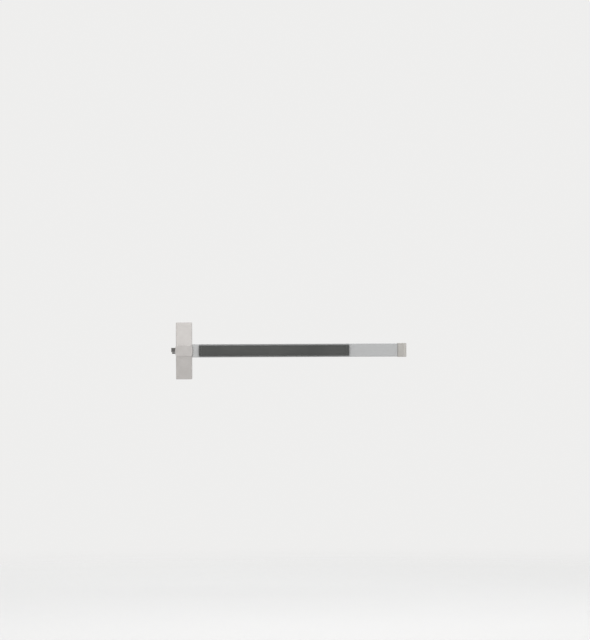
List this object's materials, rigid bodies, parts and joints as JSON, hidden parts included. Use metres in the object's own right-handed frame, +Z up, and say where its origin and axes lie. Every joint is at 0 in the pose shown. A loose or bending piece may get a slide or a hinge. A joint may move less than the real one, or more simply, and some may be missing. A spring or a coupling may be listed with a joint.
{
  "type": "panic exit bar",
  "caption": "Rim exit device for a door: tall latch case, dark push pad in an aluminium rail, cover and end cap; pushing the pad swings the latch bolt into the case",
  "frame": {"origin": "middle of the latch case's back face, on the bar's centreline, in the plane of the door's face", "axes": "+Y into the door, +X along the bar from the latch edge towards the hinges, +Z up"},
  "size_m": [0.8893, 0.0605, 0.215],
  "materials": {
    "painted_casting": "satin warm grey paint on cast metal",
    "satin_aluminium": "satin anodised",
    "pad_plastic": "fine matte grain, dark grey",
    "zinc_steel": "zinc plated",
    "latch_steel": "dull, worn on the bevel",
    "spring_steel": "drawn wire",
    "rubber": "moulded",
    "nylon": "natural nylon"
  },
  "bodies": {
    "device_frame": {"head_chassis": "zinc_steel", "head_cover": "painted_casting", "head_cover_screw_1": "zinc_steel", "head_cover_screw_2": "zinc_steel", "head_cover_screw_3": "zinc_steel", "head_cover_screw_4": "zinc_steel", "latch_pin": "zinc_steel", "latch_pin_clip": "spring_steel", "latch_spring": "spring_steel", "deadlatch_spring": "spring_steel", "rail_channel": "satin_aluminium", "rail_cover_left": "satin_aluminium", "rail_cover_right": "satin_aluminium", "rail_joint_screw_upper": "zinc_steel", "rail_joint_screw_lower": "zinc_steel", "guide_post_left": "nylon", "guide_post_right": "nylon", "pad_bumper_left": "rubber", "pad_bumper_right": "rubber", "pad_spring_left": "spring_steel", "pad_spring_right": "spring_steel", "rod_spring": "spring_steel", "rod_spring_bracket": "zinc_steel", "end_bracket": "zinc_steel", "end_bracket_screw_upper": "zinc_steel", "end_bracket_screw_lower": "zinc_steel", "end_cap": "painted_casting", "end_cap_screw_top": "zinc_steel", "end_cap_screw_bottom": "zinc_steel", "crank_bracket_left": "zinc_steel", "crank_bracket_right": "zinc_steel", "bracket_rivet_left_upper": "zinc_steel", "bracket_rivet_left_lower": "zinc_steel", "bracket_rivet_right_upper": "zinc_steel", "bracket_rivet_right_lower": "zinc_steel", "crank_pin_left": "zinc_steel", "crank_pin_right": "zinc_steel"},
    "pad": {"pad_carrier": "zinc_steel", "push_pad": "pad_plastic", "pad_cap_left": "pad_plastic", "pad_cap_right": "pad_plastic", "pad_lug_left": "zinc_steel", "pad_lug_right": "zinc_steel", "lug_pin_left": "zinc_steel", "lug_pin_right": "zinc_steel"},
    "crank_left": {"bell_crank_left": "zinc_steel"},
    "crank_right": {"bell_crank_right": "zinc_steel"},
    "rod": {"pull_rod": "zinc_steel", "retractor": "zinc_steel", "retractor_screw": "zinc_steel"},
    "latch": {"latch_bolt": "latch_steel", "latch_tail_pin": "zinc_steel"},
    "deadlatch": {"deadlatch_bolt": "latch_steel"}
  },
  "joints": [
    {"name": "pad_push", "type": "slide", "parent": "device_frame", "child": "pad", "axis": [0, 1, 0], "range_m": [0, 0.014], "stiffness_N_per_m": 2857, "springref_m": -0.007, "deforming": ["pad_spring_left", "pad_spring_right"]},
    {"name": "crank_left_turn", "type": "hinge", "parent": "device_frame", "child": "crank_left", "pos_m": [0.17, -0.0308, 0], "axis": [0, 0, -1], "range_deg": [0, 26.3]},
    {"name": "crank_right_turn", "type": "hinge", "parent": "device_frame", "child": "crank_right", "pos_m": [0.5, -0.0308, 0], "axis": [0, 0, -1], "range_deg": [0, 26.3]},
    {"name": "rod_pull", "type": "slide", "parent": "device_frame", "child": "rod", "axis": [1, 0, 0], "range_m": [0, 0.0098], "deforming": ["rod_spring"]},
    {"name": "latch_swing", "type": "hinge", "parent": "device_frame", "child": "latch", "pos_m": [-0.015, -0.013, 0], "axis": [0, 0, 1], "range_deg": [0, 75.1], "deforming": ["latch_spring"]},
    {"name": "deadlatch_swing", "type": "hinge", "parent": "device_frame", "child": "deadlatch", "pos_m": [-0.015, -0.013, 0], "axis": [0, 0, 1], "range_deg": [0, 75], "stiffness_Nm_per_rad": 0.06, "springref_deg": -28.65, "deforming": ["deadlatch_spring"]}
  ],
  "couplings": [
    {"joint": "crank_left_turn", "follows": "pad_push", "rad_per_m": 32.747},
    {"joint": "crank_right_turn", "follows": "pad_push", "rad_per_m": 32.747},
    {"joint": "rod_pull", "follows": "pad_push", "ratio": 0.69792},
    {"joint": "latch_swing", "follows": "pad_push", "rad_per_m": 93.5}
  ]
}
